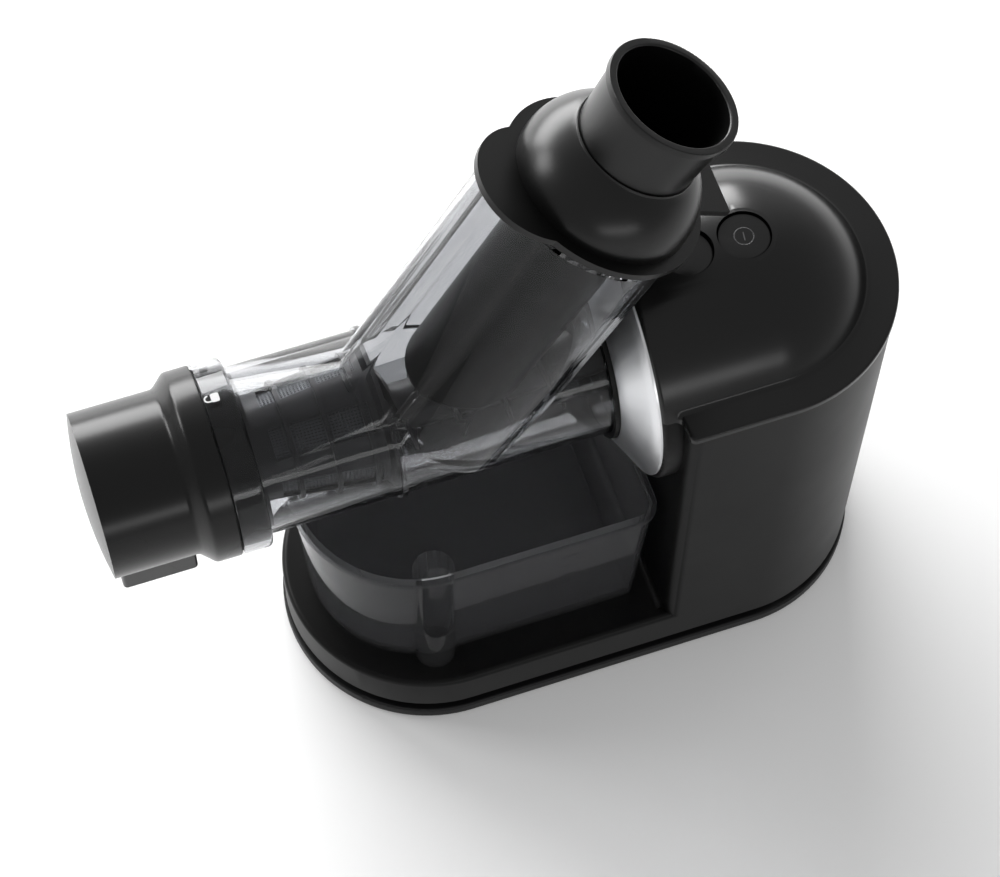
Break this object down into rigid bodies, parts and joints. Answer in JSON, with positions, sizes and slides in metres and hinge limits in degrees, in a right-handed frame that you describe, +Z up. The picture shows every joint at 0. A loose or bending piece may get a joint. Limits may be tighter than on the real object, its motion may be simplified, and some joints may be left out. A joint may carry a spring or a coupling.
{
  "type": "cold press juicer",
  "caption": "Level slow juicer with stadium base, motor tower, clear chamber, slanted feed tube with pusher, end cap and pull-out jug.",
  "frame": {"origin": "on the table under the middle of the whole object's box", "axes": "+X from the end cap to the motor tower, +Y to the back, +Z up"},
  "size_m": [0.3644, 0.14, 0.3846],
  "materials": {
    "black_shell": "satin moulded ABS",
    "black_gloss": "satin black ABS",
    "dark_plate": "matte ABS",
    "rubber": "moulded rubber",
    "screw_steel": "zinc plated steel",
    "satin_ring": "satin anodised aluminium",
    "clear_plastic": "clear copolyester",
    "smoke_plastic": "clear moulded jug plastic",
    "grey_plastic": "matte grey nylon",
    "mesh_steel": "perforated stainless steel",
    "auger_plastic": "matte glass filled nylon",
    "gear_plastic": "natural acetal",
    "gear_steel": "ground steel",
    "frame_steel": "pressed zinc plated steel",
    "bronze": "sintered bronze",
    "motor_black": "black painted steel",
    "magnet": "ferrite",
    "laminations": "stacked laminations",
    "copper": "enamelled copper wire",
    "board_green": "glass epoxy board",
    "carbon": "carbon brush"
  },
  "bodies": {
    "housing": {"base_plate": "dark_plate", "rubber_feet": "rubber", "lower_casing": "black_shell", "base_screws": "screw_steel", "cord_gland": "rubber", "top_cover": "black_gloss", "control_board": "board_green", "board_screws": "screw_steel", "power_switch": "dark_plate", "reverse_switch": "dark_plate", "trim_ring": "satin_ring", "hub_socket": "black_shell", "hub_seal": "rubber", "gearbox_front_plate": "frame_steel", "gearbox_rear_plate": "frame_steel", "gearbox_posts": "frame_steel", "gearbox_screws": "screw_steel", "idler_pin_a": "gear_steel", "idler_pin_b": "gear_steel", "output_bush_front": "bronze", "output_bush_rear": "bronze", "motor_can": "motor_black", "motor_front_bracket": "frame_steel", "motor_rear_bracket": "frame_steel", "motor_bush_front": "bronze", "motor_bush_rear": "bronze", "motor_magnets": "magnet", "motor_screws": "screw_steel", "motor_brushes": "carbon"},
    "power_key": {"power_button": "black_gloss"},
    "reverse_key": {"reverse_button": "black_gloss"},
    "output_drive": {"output_gear": "gear_plastic", "output_shaft": "gear_steel"},
    "idler_a": {"idler_gear_a": "gear_plastic"},
    "idler_b": {"idler_gear_b": "gear_plastic"},
    "rotor": {"motor_pinion": "gear_steel", "motor_shaft": "gear_steel", "armature_core": "laminations", "armature_windings": "copper", "commutator": "copper", "cooling_fan": "grey_plastic"},
    "chamber": {"juice_chamber": "clear_plastic", "strainer_frame": "grey_plastic", "strainer_mesh": "mesh_steel", "chamber_seal": "rubber"},
    "screw_press": {"auger": "auger_plastic"},
    "cap": {"end_cap": "black_shell", "cap_bush": "grey_plastic", "cap_seal": "rubber"},
    "pusher": {"pusher_rod": "black_shell", "pusher_head": "black_shell"},
    "jug_body": {"jug": "smoke_plastic"}
  },
  "joints": [
    {"name": "power_press", "type": "slide", "parent": "housing", "child": "power_key", "axis": [0, 0, -1], "range_m": [0, 0.001], "stiffness_N_per_m": 800, "springref_m": -0.0005},
    {"name": "reverse_press", "type": "slide", "parent": "housing", "child": "reverse_key", "axis": [0, 0, -1], "range_m": [0, 0.001], "stiffness_N_per_m": 800, "springref_m": -0.0005},
    {"name": "output_spin", "type": "hinge", "parent": "housing", "child": "output_drive", "pos_m": [0.07725, 0, 0.189], "axis": [1, 0, 0], "continuous": true},
    {"name": "idler_a_spin", "type": "hinge", "parent": "housing", "child": "idler_a", "pos_m": [0.08225, 0, 0.14213], "axis": [1, 0, 0], "continuous": true},
    {"name": "idler_b_spin", "type": "hinge", "parent": "housing", "child": "idler_b", "pos_m": [0.09025, 0, 0.09838], "axis": [1, 0, 0], "continuous": true},
    {"name": "motor_spin", "type": "hinge", "parent": "housing", "child": "rotor", "pos_m": [0.11925, 0, 0.06237], "axis": [1, 0, 0], "continuous": true},
    {"name": "chamber_release", "type": "slide", "parent": "housing", "child": "chamber", "axis": [-1, 0, 0], "range_m": [0, 0.04]},
    {"name": "auger_spin", "type": "hinge", "parent": "chamber", "child": "screw_press", "pos_m": [-0.03075, 0, 0.189], "axis": [1, 0, 0], "continuous": true},
    {"name": "cap_twist", "type": "hinge", "parent": "chamber", "child": "cap", "pos_m": [-0.13075, 0, 0.189], "axis": [1, 0, 0], "range_deg": [0, 30]},
    {"name": "pusher_slide", "type": "slide", "parent": "chamber", "child": "pusher", "axis": [0.4702, 0, 0.8825], "range_m": [0, 0.15]},
    {"name": "jug_slide", "type": "slide", "parent": "housing", "child": "jug_body", "axis": [0, -1, 0], "range_m": [0, 0.16]}
  ],
  "couplings": [
    {"joint": "idler_b_spin", "follows": "motor_spin", "ratio": -0.2},
    {"joint": "idler_a_spin", "follows": "motor_spin", "ratio": 0.05},
    {"joint": "output_spin", "follows": "motor_spin", "ratio": -0.0125},
    {"joint": "auger_spin", "follows": "motor_spin", "ratio": -0.0125}
  ]
}
